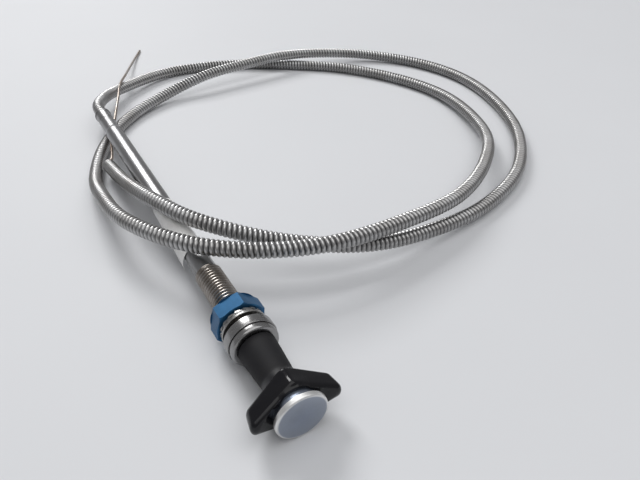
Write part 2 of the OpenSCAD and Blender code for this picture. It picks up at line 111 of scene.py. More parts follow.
def tidyMesh(mesh, sharp, joined=1e-7):
    # joins points that coincide, turns the faces outwards and keeps crisp edges crisp
    bm = bmesh.new()
    bm.from_mesh(mesh)
    bmesh.ops.remove_doubles(bm, verts=bm.verts, dist=joined)
    bmesh.ops.recalc_face_normals(bm, faces=bm.faces)
    limit = math.radians(sharp)
    for face in bm.faces:
        face.smooth = True
    for edge in bm.edges:
        edge.smooth = edge.calc_face_angle(0) < limit
    bm.to_mesh(mesh)
    bm.free()


def meshObject(name, points, faces, sharp=crisp, marks=None):
    # points are in metres
    mesh = bpy.data.meshes.new(name)
    mesh.from_pydata([tuple(p) for p in points], [], faces)
    if marks is not None:
        addMarks(mesh, marks)
    tidyMesh(mesh, sharp)
    return newObject(name, mesh)


def dressPiece(obj, body, slot, stands=()):
    # stands are the CAD nodes that the piece is shown in place of
    obj.data.materials.clear()
    obj.data.materials.append(finishes[slot])
    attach(obj, body)
    if stands:
        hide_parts(*stands)
    return obj


def addPiece(name, points, faces, body, slot, stands=(), sharp=crisp, marks=None):
    return dressPiece(meshObject(name, points, faces, sharp, marks), body, slot, stands)


def gridFaces(rows, columns, closeRows=False, closeColumns=True):
    faces = []
    for i in range(rows if closeRows else rows - 1):
        for k in range(columns if closeColumns else columns - 1):
            a, b = i * columns, (i + 1) % rows * columns
            n = (k + 1) % columns
            faces.append((a + k, b + k, b + n, a + n))
    return faces


def rodFaces(rows, columns, first=0):
    # the faces of a rod with closed ends, whose points are numbered from first
    faces = gridFaces(rows, columns)
    for start in (0, (rows - 1) * columns):
        faces.append(tuple(range(start, start + columns)))
    return [tuple(first + n for n in face) for face in faces]


def roundCorners(corners, steps=5):
    # corners are (station, radius, rounding); each rounded one becomes a short arc
    out = []
    for i, (y, r, rounding) in enumerate(corners):
        here = Vector((y, r))
        if not rounding:
            out.append(here)
            continue
        back = Vector(corners[i - 1][:2]) - here
        ahead = Vector(corners[(i + 1) % len(corners)][:2]) - here
        reach = min(rounding, back.length / 2, ahead.length / 2)
        first, second = here + back.normalized() * reach, here + ahead.normalized() * reach
        for k in range(steps + 1):
            t = k / steps
            out.append((1 - t) ** 2 * first + 2 * t * (1 - t) * here + t * t * second)
    return out


def turnedMesh(corners, sides=96, closed=False):
    # a profile turned round the head's axis
    profile = roundCorners(corners)
    points = [onHead(y, max(r, 0), 360 * k / sides) for y, r in profile for k in range(sides)]
    return points, gridFaces(len(profile), sides, closeRows=closed)


def addTurned(name, corners, sides, body, slot, stands, closed=False, polishAndHighlight=None):
    # polishAndHighlight is (radius, width): outside that radius the mark rises to 1 within that
    # width, where the finish gives a gloss of its own and a bright colour that is a painted
    # highlight
    points, faces = turnedMesh(corners, sides, closed)
    marks = None
    if polishAndHighlight:
        start, width = polishAndHighlight
        radii = np.array([r for _, r in roundCorners(corners)])
        marks = np.clip((radii - start) / width, 0, 1).repeat(sides)
    return addPiece(name, points, faces, body, slot, stands, marks=marks)


def evenRun(points, step):
    # the distances and places of points at an even spacing along a line
    line = np.array([tuple(p) for p in points])
    runs = np.concatenate([[0], np.cumsum(np.linalg.norm(np.diff(line, axis=0), axis=1))])
    at = np.linspace(0, runs[-1], int(round(runs[-1] / step)) + 1)
    return at, np.stack([np.interp(at, runs, line[:, i]) for i in range(3)], axis=1)


def unitRows(rows):
    return rows / np.linalg.norm(rows, axis=1)[:, None]


def crossFrames(line, reference):
    # two directions square to a line at each of its points
    ahead = unitRows(np.gradient(line, axis=0))
    side = unitRows(np.cross(ahead, reference))
    return side, np.cross(side, ahead)


def sweptMesh(points, radii, sides, reference=upright):
    # a closed round rod along a line, with a radius for each point
    line = np.array([tuple(p) for p in points])
    side, up = crossFrames(line, reference)
    turn = np.arange(sides) * 2 * math.pi / sides
    ring = np.cos(turn)[None, :, None] * side[:, None] + np.sin(turn)[None, :, None] * up[:, None]
    body = line[:, None] + np.array(radii)[:, None, None] * ring
    return [*body.reshape(-1, 3)], rodFaces(len(line), sides)


def woundMesh(line, look, limit=None, step=0.4 * mm):
    # a ridge wound round a line in turns that touch: profile is (share of a turn, radius in mm),
    # and limit holds distances along the line with the largest radius at each
    at, places = evenRun(line, step)
    side, up = crossFrames(places, upright)
    whole, pitch, sides = at[-1], look["pitch"] * mm, look["sides"]
    shares, heights = np.array(look["profile"]).T
    heights = heights * mm
    turns = int(math.ceil(whole / pitch)) + 1
    started = (np.arange(-1, turns)[:, None] + shares[None, :]).reshape(-1)
    around = np.arange(sides) / sides
    hand = look["hand"]
    along = np.clip((started[:, None] + hand * around[None, :]) * pitch, 0, whole)
    phase = (along / pitch - hand * around[None, :]) % 1
    radius = np.interp(phase, [*shares, 1], [*heights, heights[0]])
    # the mark is highest in the valleys between turns: on the casing its colour is painted shade
    # there, on the thread a darker brown in its roots
    marks = 1 - (radius - heights.min()) / (heights.max() - heights.min())
    if limit:
        radius = np.minimum(radius, np.interp(along, *limit))

    def withEnds(first, rows, last):
        ends = [np.repeat(np.array(values)[:, None], sides, axis=1) for values in (first, last)]
        return np.concatenate([ends[0], rows, ends[1]])

    # the bore at both ends, a little way in and fully marked, which on the casing is painted shade
    # inside its ends
    bore, depth = look["bore"] * mm, look["depth"] * mm
    along = withEnds((depth, 0), along, (whole, whole - depth))
    radius = withEnds((bore, bore), radius, (bore, bore))
    marks = withEnds((1, 1), marks, (1, 1))

    def spread(rows):
        return np.stack([np.interp(along.reshape(-1), at, rows[:, i]) for i in range(3)], axis=1)

    turn = np.tile(around * 2 * math.pi, len(along))[:, None]
    ring = np.cos(turn) * spread(side) + np.sin(turn) * spread(up)
    out = spread(places) + radius.reshape(-1)[:, None] * ring
    return out, rodFaces(len(along), sides), marks.reshape(-1)


mixSockets = dict(RGBA=(6, 7, 2), FLOAT=(2, 3, 0))  # a mix node's two inputs and its output


def newMaterial(name):
    material = bpy.data.materials.new(name)
    material.use_nodes = True
    return material, material.node_tree, material.node_tree.nodes["Principled BSDF"]


def addNode(tree, kind, inputs=None, **settings):
    # an input is a value, or the socket of another node that it is linked to
    node = tree.nodes.new(kind)
    for key, value in settings.items():
        setattr(node, key, value)
    for key, value in (inputs or {}).items():
        if isinstance(value, bpy.types.NodeSocket):
            tree.links.new(value, node.inputs[key])
        else:
            node.inputs[key].default_value = value
    return node


def mixed(tree, share, first, second, kind="RGBA"):
    one, two, result = mixSockets[kind]
    node = addNode(tree, "ShaderNodeMix", {0: share, one: first, two: second}, data_type=kind)
    return node.outputs[result]


# Each finish is a colour with patches of its shade, a fine grain that turns its gloss within
# two bounds and lifts its surface, and dull specks. Marked places have their own colour or gloss.
# Patch and grain are scales of noise, and specks is how much duller the specks are.
finishLooks = {
    "handle_black": dict(
        colour=(0.005, 0.005, 0.007), shade=(0.008, 0.0075, 0.009), patch=90, metallic=0,
        specular=0.35, gloss=(0.12, 0.18), grain=900, height=0.01, strength=0.06, specks=0.12,
        markGloss=0.7),
    # the button's dark blue-grey face colour is a painted reflection of a blue table, and its mark
    # colour a painted highlight on the rim
    "button_metal": dict(
        colour=(0.29, 0.33, 0.41), shade=(0.265, 0.3, 0.365), patch=120, metallic=1,
        gloss=(0.3, 0.38), grain=1800, height=0.008, strength=0.08, specks=0.15,
        markColour=(0.82, 0.82, 0.81), markShare=1, markGloss=0.42),
    "steel": dict(
        colour=(0.7, 0.7, 0.7), shade=(0.5, 0.5, 0.51), patch=150, metallic=1,
        gloss=(0.16, 0.3), grain=1500, height=0.008, strength=0.1, stretch=(1, 0.15, 1)),
    "spring_steel": dict(
        colour=(0.4, 0.4, 0.42), shade=(0.24, 0.23, 0.23), patch=300, metallic=1,
        gloss=(0.25, 0.42), grain=2500, height=0.01, strength=0.15),
    "plated": dict(
        colour=(0.35, 0.35, 0.355), shade=(0.28, 0.275, 0.27), patch=110, metallic=1,
        gloss=(0.2, 0.28), grain=1400, height=0.008, strength=0.1, specks=0.25),
    "thread_steel": dict(
        colour=(0.38, 0.36, 0.34), shade=(0.26, 0.235, 0.21), patch=160, metallic=1,
        gloss=(0.24, 0.38), grain=1600, height=0.01, strength=0.15,
        markColour=(0.12, 0.085, 0.06), markShare=0.75),
    "nut_blue": dict(
        colour=(0.022, 0.12, 0.26), shade=(0.018, 0.092, 0.2), patch=220, metallic=0.6,
        gloss=(0.34, 0.46), grain=1500, height=0.015, strength=0.15, specks=0.2),
    "washer_steel": dict(
        colour=(0.46, 0.46, 0.45), shade=(0.32, 0.31, 0.3), patch=220, metallic=1,
        gloss=(0.2, 0.38), grain=1600, height=0.01, strength=0.15, specks=0.4),
    "wiper_rubber": dict(
        colour=(0.02, 0.02, 0.02), shade=(0.035, 0.034, 0.033), patch=300, metallic=0,
        gloss=(0.6, 0.8), grain=2200, height=0.03, strength=0.3),
    "tube_steel": dict(
        colour=(0.31, 0.31, 0.315), shade=(0.26, 0.255, 0.25), patch=60, metallic=1,
        gloss=(0.28, 0.38), grain=900, height=0.006, strength=0.08, stretch=(1, 0.08, 1),
        specks=0.3),
    "paper": dict(
        colour=(0.9, 0.895, 0.88), shade=(0.82, 0.81, 0.79), patch=180, metallic=0,
        gloss=(0.28, 0.4), grain=1600, height=0.03, strength=0.25),
    # the casing's mark colour darkens the valleys between its turns and its bore ends: painted
    # shade
    "casing_steel": dict(
        colour=(0.56, 0.56, 0.56), shade=(0.4, 0.39, 0.38), patch=38, metallic=1,
        gloss=(0.28, 0.4), grain=1300, height=0.012, strength=0.12,
        markColour=(0.07, 0.07, 0.073), markShare=0.9),
    "wire_steel": dict(
        colour=(0.46, 0.43, 0.4), shade=(0.28, 0.22, 0.18), patch=70, metallic=1,
        gloss=(0.3, 0.45), grain=1500, height=0.012, strength=0.15, stretch=(1, 0.2, 1)),
    "bronze": dict(
        colour=(0.55, 0.36, 0.16), shade=(0.38, 0.24, 0.12), patch=200, metallic=1,
        gloss=(0.2, 0.35), grain=1600, height=0.01, strength=0.12),
}

# Of each noise, the values from low to high are spread over 0 to 1.
noiseLooks = dict(
    patch=dict(detail=6, low=0.35, high=0.68), grain=dict(detail=4, low=0.3, high=0.7),
    specks=dict(detail=8, low=0.62, high=0.72), roughness=0.6, speckScale=0.45)


def makeFinish(name, look):
    material, tree, shader = newMaterial(name)
    shader.inputs["Metallic"].default_value = look["metallic"]
    if "specular" in look:
        shader.inputs["Specular IOR Level"].default_value = look["specular"]
    place = addNode(tree, "ShaderNodeTexCoord")
    mapping = addNode(tree, "ShaderNodeMapping", {
        "Vector": place.outputs["Object"], "Scale": look.get("stretch", (1, 1, 1))})

    def noiseAt(scale, kind):
        cloud = addNode(tree, "ShaderNodeTexNoise", {
            "Vector": mapping.outputs["Vector"], "Scale": scale, "Detail": kind["detail"],
            "Roughness": noiseLooks["roughness"]})
        spread = addNode(tree, "ShaderNodeMapRange", {
            "Value": cloud.outputs["Fac"], "From Min": kind["low"], "From Max": kind["high"]})
        return spread.outputs["Result"]

    def markShare():
        return addNode(tree, "ShaderNodeAttribute", attribute_name="mark").outputs["Fac"]

    patches = noiseAt(look["patch"], noiseLooks["patch"])
    colour = mixed(tree, patches, (*look["colour"], 1), (*look["shade"], 1))
    grain = noiseAt(look["grain"], noiseLooks["grain"])
    low, high = look["gloss"]
    rough = addNode(tree, "ShaderNodeMapRange", {"Value": grain, "To Min": low, "To Max": high})
    roughness = rough.outputs["Result"]
    if "specks" in look:
        specks = noiseAt(look["grain"] * noiseLooks["speckScale"], noiseLooks["specks"])
        dull = addNode(tree, "ShaderNodeMath", {0: specks, 1: look["specks"], 2: roughness},
                       operation="MULTIPLY_ADD")
        roughness = dull.outputs["Value"]
    if "markGloss" in look:
        roughness = mixed(tree, markShare(), roughness, look["markGloss"], "FLOAT")
    if "markColour" in look:
        share = addNode(tree, "ShaderNodeMath", {0: markShare(), 1: look["markShare"]},
                        operation="MULTIPLY")
        colour = mixed(tree, share.outputs["Value"], colour, (*look["markColour"], 1))
    bump = addNode(tree, "ShaderNodeBump", {
        "Strength": look["strength"], "Distance": look["height"] * mm, "Height": grain})
    tree.links.new(colour, shader.inputs["Base Color"])
    tree.links.new(roughness, shader.inputs["Roughness"])
    tree.links.new(bump.outputs["Normal"], shader.inputs["Normal"])
    return material


finishes = {name: makeFinish(name, look) for name, look in finishLooks.items()}
print("finishes made:", len(finishes))


def roundRidge(valley, height, steps):
    # one turn of wire as (share of the turn, radius)
    return [(k / steps, valley + height * math.sin(math.pi * k / steps)) for k in range(steps)]


# The casing leaves the tube straight for its lead, and startRun bends it softly from there.
casingLook = dict(
    diameter=10, pitch=3.1, sides=24, hand=-1, bore=2, depth=8, profile=roundRidge(4.1, 0.9, 10),
    lead=11, startRun=48, steps=24, sharp=50)
tailLook = dict(radius=1.2, sides=14, tip=0.5, steps=16)
pathStep = 2 * mm

casingExit = onHead(headLook["tubeEnd"])
casingLead = casingExit + casingLook["lead"] * mm * axisDir
casingPoints = [casingLead] + [Vector(p) * mm for p in (
    (7.5, 211, 18), (29, 245, 11), (79.5, 277.5, 6), (125.5, 279, 5), (169, 264, 5),
    (215, 234.5, 5), (253, 202.5, 5), (282.5, 158, 5), (298.5, 107, 5.5), (294, 57, 7.5),
    (269.5, -1.5, 10.5), (229.5, -42.5, 14), (177, -73, 18.5), (119, -84.5, 23.5),
    (67, -85.5, 27.5), (25, -71, 29.5), (-7.5, -43, 29.5), (-28.5, 0, 26.5), (-32, 47, 18.5),
    (-27, 98, 7), (-7.5, 149, 5), (27, 194, 5), (69, 220.5, 7.5), (115, 230.5, 14.5),
    (159, 235, 16), (203, 238, 16), (249, 234.5, 12), (297, 217, 7), (332.5, 175, 5),
    (346.5, 119, 5), (336, 59, 5), (305.5, -3, 5), (257.5, -51.5, 5), (201, -77, 5.5),
    (145, -85, 8.5), (95, -82.5, 14.5), (47, -62.5, 22.5), (9.5, -29, 29.5), (-7.5, 13, 28),
    (-13, 64, 16.5), (-14.5, 106, 9))]
tailPoints = [Vector(p) * mm for p in (
    (-14.5, 106, 9), (-10, 115.5, 9.5), (-6, 131.5, 9.5), (-2, 147, 10.5), (4, 163.5, 12),
    (11, 182, 14), (17, 198.5, 15.5), (23.5, 216, 17), (29, 233, 18), (35.5, 250, 17),
    (46, 277, 12.5), (59.5, 312, 7), (75, 348, 3), (88, 375, 1.3))]


def smoothRoute(points, startRun, stopRun, steps, lowest):
    # a curve through the points that stays a radius above the floor; it starts and ends along
    # the two runs, which are about twice the points' spacing
    knots = [points[1] - startRun, *points, points[-2] + stopRun]
    out = []
    for i in range(len(points) - 1):
        a, b, c, d = knots[i : i + 4]
        for k in range(steps):
            t = k / steps
            bend = (2 * a - 5 * b + 4 * c - d) * t * t + (3 * b - a - 3 * c + d) * t ** 3
            out.append(0.5 * (2 * b + (c - a) * t + bend))
    return [Vector((p.x, p.y, max(p.z, lowest))) for p in (*out, points[-1])]


def endRun(points):
    return 2 * (points[-1] - points[-2])


def makeCasing(look):
    startRun, lowest = look["startRun"] * mm * axisDir, look["diameter"] / 2 * mm
    route = smoothRoute(casingPoints, startRun, endRun(casingPoints), look["steps"], lowest)
    route.insert(0, casingExit)
    points, faces, marks = woundMesh(route, look)
    casing = addPiece(
        "woundCasing", points, faces, "housing", "casing_steel", ["casing"], look["sharp"], marks)
    at, line = evenRun(route, pathStep)
    print("casing wound:", round(at[-1], 4), "m,", len(faces), "faces")


def makeTail(look):
    startRun, lowest = endRun(casingPoints), look["radius"] * mm
    route = smoothRoute(tailPoints, startRun, endRun(tailPoints), look["steps"], lowest)
    at, line = evenRun(route, pathStep)
    radii = np.full(len(line), look["radius"] * mm)
    radii[0] = radii[-1] = (look["radius"] - look["tip"]) * mm
    points, faces = sweptMesh(line, radii, look["sides"])
    tail = addPiece("coreWireTail", points, faces, "housing", "wire_steel", ["core_wire"])
    print("core wire drawn:", round(at[-1], 4), "m")


makeCasing(casingLook)
makeTail(tailLook)

# The handle is moulded in one from a stem and two wings, softened, then bored. A wing's end is
# a small ball in front and a larger one behind it, and its crests are rounded at their noses.
# What lies behind the wings' front, such as root or ringAt, is counted from there.
handleLook = dict(
    rear=-126.5, span=46.4, top=13.9, front=headLook["front"],
    tipRadius=2.5, tipHeight=8.2, sweep=2.6,
    backRadius=3.5, backHeight=11.2, backInset=1.2, backLength=9.3,
    corner=3.6, nose=2.2, crestFront=2, root=13, riseTo=9, rise=0.6,
    hub=12.4, hubFront=1, hubRear=7, ringAt=13, dullFrom=12, dullWidth=8,
    pocketFront=-12, pocketFlare=28, rimPocket=13.75)
stemLook = dict(
    front=8.8, rear=10.4, start=-150, edge=0.8, recess=11.1, recessFloor=-160.4, recessEdge=0.3,
    rodHole=2.05, shaftHole=4.77, shaftFront=-156.4, spare=3,
    grubHole=2.0, grubStation=-138.25, grubReach=(3, 14), grubSides=32)
mouldLook = dict(
    voxel=0.36, smoothing=10, softness=0.5, sharp=40, ballRows=16, ballSides=48, crestSides=32,
    noseRows=8)


def ballPoints(x, station, radius, reach, mould):
    # a ball that reaches further up and down than its radius, or less far
    out = []
    rows, sides = mould["ballRows"], mould["ballSides"]
    for i in range(rows + 1):
        for k in range(sides):
            up, around = math.pi * (i / rows - 0.5), 2 * math.pi * k / sides
            wide = radius * math.cos(up)
            out.append(headPoint(x + wide * math.cos(around), station + wide * math.sin(around),
                                 reach * math.sin(up)))
    return out


def crestPoints(look, mould):
    # two rounded bars along the bottom and the top, from their noses to the root
    out = []
    front, corner, nose = look["front"], look["corner"], look["nose"]
    middle = look["top"] - corner
    for k in range(mould["crestSides"]):
        a = 2 * math.pi * k / mould["crestSides"]
        for z in (-middle, middle):
            for i in range(mould["noseRows"] + 1):
                b = math.pi / 2 * i / mould["noseRows"]
                r = corner - nose + nose * math.sin(b)
                station = front + look["crestFront"] + nose * (1 - math.cos(b))
                out.append(headPoint(r * math.cos(a), station, z + r * math.sin(a)))
            out.append(headPoint(corner * math.cos(a), front + look["root"],
                                 z + corner * math.sin(a)))
    return out


def wingPoints(look, stem, mould, sign):
    front, half, sides = look["front"], look["span"] / 2, mould["ballSides"]
    tip, back = look["tipRadius"], look["backRadius"]
    return [
        *ballPoints(sign * (half - tip), front + (tip - look["sweep"]), tip,
                    look["tipHeight"] / 2, mould),
        *ballPoints(sign * (half - look["backInset"] - back), front + (look["backLength"] - back),
                    back, look["backHeight"] / 2, mould),
        *crestPoints(look, mould),
        *[onHead(front + look["ringAt"], stem["front"], 360 * k / sides) for k in range(sides)]]


def rawHandle(look, stem, mould):
    # stem and wings as closed shells in one mesh, which the modifiers join and soften
    front, rear = look["front"], look["rear"]
    handle = meshObject("handleRaw", *turnedMesh([
        (front + look["hubFront"], 0, 0), (front + look["hubFront"], look["hub"], 0),
        (front + look["hubRear"], look["hub"], 0), (stem["start"], stem["front"], 0),
        (rear, stem["rear"], stem["edge"]), (rear, 0, 0)]))
    whole = bmesh.new()
    whole.from_mesh(handle.data)
    for sign in (-1, 1):
        bm = bmesh.new()
        points = wingPoints(look, stem, mould, sign)
        bmesh.ops.convex_hull(bm, input=[bm.verts.new(p) for p in points])
        wing = bpy.data.meshes.new("wing")
        bm.to_mesh(wing)
        bm.free()
        whole.from_mesh(wing)
    whole.to_mesh(handle.data)
    whole.free()
    remesh = handle.modifiers.new("remesh", "REMESH")
    remesh.mode, remesh.voxel_size = "VOXEL", mould["voxel"] * mm
    soften = handle.modifiers.new("soften", "SMOOTH")
    soften.factor, soften.iterations = mould["softness"], mould["smoothing"]
    return handle


def handleCutters(look, stem):
    # the bore, with the button's pocket at its front, and the grub screw's hole from below
    front, spare = look["front"], look["rear"] + stem["spare"]
    bore = meshObject("bore", *turnedMesh([
        (front + look["pocketFront"], 0, 0),
        (front + look["pocketFront"], look["rimPocket"] + look["pocketFlare"], 0),
        (front, look["rimPocket"], 0), (front, stem["recess"], 0),
        (stem["recessFloor"], stem["recess"], stem["recessEdge"]),
        (stem["recessFloor"], stem["rodHole"], 0), (stem["shaftFront"], stem["rodHole"], 0),
        (stem["shaftFront"], stem["shaftHole"], 0), (spare, stem["shaftHole"], 0), (spare, 0, 0)]))
    under = [onHead(stem["grubStation"], r, -90) for r in stem["grubReach"]]
    radii = [stem["grubHole"] * mm] * len(under)
    grub = meshObject("grub", *sweptMesh(under, radii, stem["grubSides"], axisDir))
    return bore, grub


def finishHandle(mesh, look):
    # runs are counted along the axis from the scene's middle, heights from the axis
    places = np.array([p.co for p in mesh.vertices])
    runs = places @ np.array(axisDir) / mm - look["front"]
    heights = (places - np.array(axisBase) * mm) @ np.array(axisUp) / mm
    # the top crest rises a little to its front end
    t = np.clip((runs - look["crestFront"]) / (look["riseTo"] - look["crestFront"]), 0, 1)
    near = np.clip((heights - look["top"] + look["corner"]) / look["corner"], 0, 1)
    places += ((1 - t * t * (3 - 2 * t)) * near * look["rise"] * mm)[:, None] * np.array(axisUp)
    mesh.vertices.foreach_set("co", places.ravel())
    # the wings are polished by hands, the stem is duller
    addMarks(mesh, np.clip((runs - look["dullFrom"]) / look["dullWidth"], 0, 1))


def makeHandle(look, stem, mould):
    handle = rawHandle(look, stem, mould)
    cutters = handleCutters(look, stem)
    for cutter in cutters:
        cut = handle.modifiers.new("cut", "BOOLEAN")
        cut.operation, cut.solver, cut.object = "DIFFERENCE", "EXACT", cutter
    graph = bpy.context.evaluated_depsgraph_get()
    mesh = bpy.data.meshes.new_from_object(handle.evaluated_get(graph))
    tidyMesh(mesh, mould["sharp"])
    finishHandle(mesh, look)
    for spare in (handle, *cutters):
        bpy.data.objects.remove(spare)
    dressPiece(newObject("handleBody", mesh), "handle", "handle_black", ["t_handle"])
    print("handle moulded:", len(mesh.polygons), "faces")


makeHandle(handleLook, stemLook, mouldLook)

# The button is hollow behind, with a boss for its rod. Its mark starts beyond the flat face and
# paints a highlight on the rim's edge and band, with a gloss of its own.
buttonLook = dict(
    face=-174, rim=13.4, rimRear=-171.2, neck=11, neckRear=-163.7, pocket=8.3,
    pocketFloor=-172, boss=3.6, hole=2.02, edge=1.6, rearEdge=0.25, softEdge=0.3, fineEdge=0.2,
    pocketEdge=0.4, polishAndHighlightGap=0.1, polishAndHighlightWidth=0.8, sides=144)
springLook = dict(
    radius=6.5, wire=0.6, coils=5, start=-171.38, stop=-161.02, steps=28, sides=10, travel=3)


def makeButton(look):
    face, rear, floor = look["face"], look["neckRear"], look["pocketFloor"]
    soft, fine = look["softEdge"], look["fineEdge"]
    addTurned("pushButton", [
        (face, 0, 0), (face, look["rim"], look["edge"]),
        (look["rimRear"], look["rim"], look["rearEdge"]), (look["rimRear"], look["neck"], soft),
        (rear, look["neck"], soft), (rear, look["pocket"], fine),
        (floor, look["pocket"], look["pocketEdge"]), (floor, look["boss"], soft),
        (rear, look["boss"], fine), (rear, look["hole"], 0), (floor, look["hole"], 0),
        (floor, 0, 0)],
        look["sides"], "button", "button_metal", ["push_button"],
        polishAndHighlight=(look["rim"] - look["edge"] + look["polishAndHighlightGap"], look["polishAndHighlightWidth"]))


def makeSpring(look):
    steps, start, rise = look["steps"], look["start"], look["stop"] - look["start"]
    count = look["coils"] * steps
    coil = [onHead(start + rise * i / count, look["radius"], 360 * i / steps)
            for i in range(count + 1)]
    points, faces = sweptMesh(coil, [look["wire"] * mm] * len(coil), look["sides"], axisDir)
    spring = addPiece("returnSpring", points, faces, "button", "spring_steel", ["button_spring"])
    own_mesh(spring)


makeButton(buttonLook)
makeSpring(springLook)
print("button and spring made")

# The collar has two rings with a groove between them, and the threaded shank follows it. The
# flanks are the shares of a turn at which the crest ends, the root starts and ends, and the next
# crest starts. The thread tapers off at its end.
bushingLook = dict(
    front=-126.3, frontRing=13.1, frontLength=3.8, groove=0.3, grooveDepth=0.4, seatRing=13.8,
    seat=-116.6, rear=-61.5, bore=4.8, wiper=7.6, wiperDepth=2.5, frontEdge=1.8, mouthEdge=0.3,
    stepEdge=0.2, ringEdge=0.35, seatEdge=0.25, coreGap=0.2, coreEnd=1, sides=144)
threadLook = dict(
    crest=7.9375, root=6.74, pitch=2.309, hand=-1, flanks=(0.1, 0.45, 0.55, 0.9), sides=72,
    bore=6.22, depth=0.6, taper=1.2, taperEnd=0.1, sharp=28)


def makeBushing(look, thread):
    front, seat, ring = look["front"], look["seat"], look["frontRing"]
    step, wiperFloor = front + look["frontLength"], front + look["wiperDepth"]
    grooveEnd, bottom = step + look["groove"], ring - look["grooveDepth"]
    core, coreEnd = thread["root"] - look["coreGap"], look["rear"] + look["coreEnd"]
    addTurned("bushingCollar", [
        (front, look["wiper"], look["mouthEdge"]), (front, ring, look["frontEdge"]),
        (step, ring, look["stepEdge"]), (step, bottom, 0), (grooveEnd, bottom, 0),
        (grooveEnd, look["seatRing"], look["ringEdge"]), (seat, look["seatRing"], look["seatEdge"]),
        (seat, core, 0), (coreEnd, core, 0), (coreEnd, look["bore"], 0),
        (wiperFloor, look["bore"], 0), (wiperFloor, look["wiper"], 0)],
        look["sides"], "housing", "plated", ["bushing"], closed=True)


def makeThread(look, seat, rear):
    crest, root = look["crest"], look["root"]
    heights = (crest, crest, root, root, crest)
    ridge = dict(look, profile=list(zip((0, *look["flanks"]), heights)))
    whole = (rear - seat) * mm
    taper = [crest * mm, crest * mm, (root + look["taperEnd"]) * mm]
    limit = ([0, whole - look["taper"] * mm, whole], taper)
    points, faces, marks = woundMesh([onHead(seat), onHead(rear)], ridge, limit)
    addPiece("threadedShank", points, faces, "housing", "thread_steel", sharp=look["sharp"],
             marks=marks)


makeBushing(bushingLook, threadLook)
makeThread(threadLook, bushingLook["seat"], bushingLook["rear"])

washerLook = dict(
    front=-113, flat=12.7, thickness=1.4, hole=7.99, holeEdge=0.2, flatEdge=0.4, sides=120)
# Each tooth starts a little inside the ring and twists from its plane to the full turn, which it
# has after 1 / quickness of its length. Round corners come from the squareness.
toothLook = dict(
    space=3.5, ring=11.9, ringHalf=1, holeEdge=0.1, ringEdge=0.3, teeth=18, tip=12.3, inside=0.8,
    width=3.2, thickness=1.3, turn=12, quickness=1.5, narrowing=0.12, squareness=0.5, rows=7,
    corners=8, sharp=50)


def makeWasher(look):
    front, rear = look["front"], look["front"] + look["thickness"]
    addTurned("plainWasher", [
        (front, look["hole"], look["holeEdge"]), (front, look["flat"], look["flatEdge"]),
        (rear, look["flat"], look["flatEdge"]), (rear, look["hole"], look["holeEdge"])],
        look["sides"], "washers", "washer_steel", ["flat_washer"], closed=True)


def squared(value, power):
    return math.copysign(abs(value) ** power, value)


def toothPoints(look, middle, angle):
    points = []
    outward = (onHead(0, 1, angle) - onHead(0, 0, angle)) / mm
    across = (onHead(0, 1, angle + 90) - onHead(0, 0, angle + 90)) / mm
    for i in range(look["rows"]):
        t = i / (look["rows"] - 1)
        twist = math.radians(look["turn"]) * min(1, t * look["quickness"])
        wide = math.cos(twist) * across + math.sin(twist) * axisDir
        thick = math.cos(twist) * axisDir - math.sin(twist) * across
        radius = look["ring"] - look["inside"] + t * (look["tip"] - look["ring"] + look["inside"])
        centre = axisBase + middle * axisDir + radius * outward
        w, h = look["width"] / 2 * (1 - look["narrowing"] * t), look["thickness"] / 2
        for k in range(look["corners"]):
            s = 2 * math.pi * (k + 0.5) / look["corners"]
            x, y = (squared(share, look["squareness"]) for share in (math.cos(s), math.sin(s)))
            points.append((centre + w * x * wide + h * y * thick) * mm)
    return points


def makeToothed(look, washer):
    middle = washer["front"] + washer["thickness"] + look["space"] / 2
    start, stop = middle - look["ringHalf"], middle + look["ringHalf"]
    points, faces = turnedMesh([
        (start, washer["hole"], look["holeEdge"]), (start, look["ring"], look["ringEdge"]),
        (stop, look["ring"], look["ringEdge"]), (stop, washer["hole"], look["holeEdge"])],
        washer["sides"], True)
    for tooth in range(look["teeth"]):
        faces += rodFaces(look["rows"], look["corners"], len(points))
        points += toothPoints(look, middle, 360 * tooth / look["teeth"])
    addPiece("toothedWasher", points, faces, "washers", "washer_steel", ["lock_washer"],
             look["sharp"])


makeWasher(washerLook)
makeToothed(toothLook, washerLook)

# The nut is flat at its ends out to land times the distance of a flat from its middle, and its
# corners slope off from there. The power of gather draws its points towards the corners.
nutLook = dict(
    front=-108.1, thickness=9.5, flats=25.4, hole=7.99, turn=19.5, land=1.06, slope=20,
    holeChamfer=0.9, rounding=0.25, segments=2, sharp=20, steps=20, gather=0.8)


def makeNut(look):
    flat, half = 60, 30  # degrees of a flat, and of half of it
    apothem, steps = look["flats"] / 2, look["steps"]
    face = apothem * look["land"]
    slope = math.tan(math.radians(look["slope"]))
    front, rear = look["front"], look["front"] + look["thickness"]
    hole, chamfer = look["hole"], look["holeChamfer"]
    angles = sorted({
        flat * side + half * (1 if k > 0 else -1) * abs(k / steps) ** look["gather"]
        for side in range(360 // flat) for k in range(-steps, steps + 1)})
    columns = []
    for angle in angles:
        fromFlat = (angle + half) % flat - half
        corner = apothem / math.cos(math.radians(fromFlat))
        depth = (corner - face) * slope
        column = [
            (front + chamfer, hole), (front, hole + chamfer), (front, face),
            (front + depth, corner), (rear - depth, corner), (rear, face),
            (rear, hole + chamfer), (rear - chamfer, hole)]
        world = angle + look["turn"] + half
        columns.append([onHead(station, radius, world) for station, radius in column])
    rows = list(zip(*columns))
    points = [p for row in rows for p in row]
    nut = addPiece("jamNut", points, gridFaces(len(rows), len(angles), closeRows=True),
                   "nut", "nut_blue", ["jam_nut"], look["sharp"])
    bevel = nut.modifiers.new("bevel", "BEVEL")
    bevel.width, bevel.segments = look["rounding"] * mm, look["segments"]
    bevel.limit_method, bevel.angle_limit = "ANGLE", math.radians(look["sharp"])
    bevel.harden_normals = True


makeNut(nutLook)
print("bushing, washers and nut made")

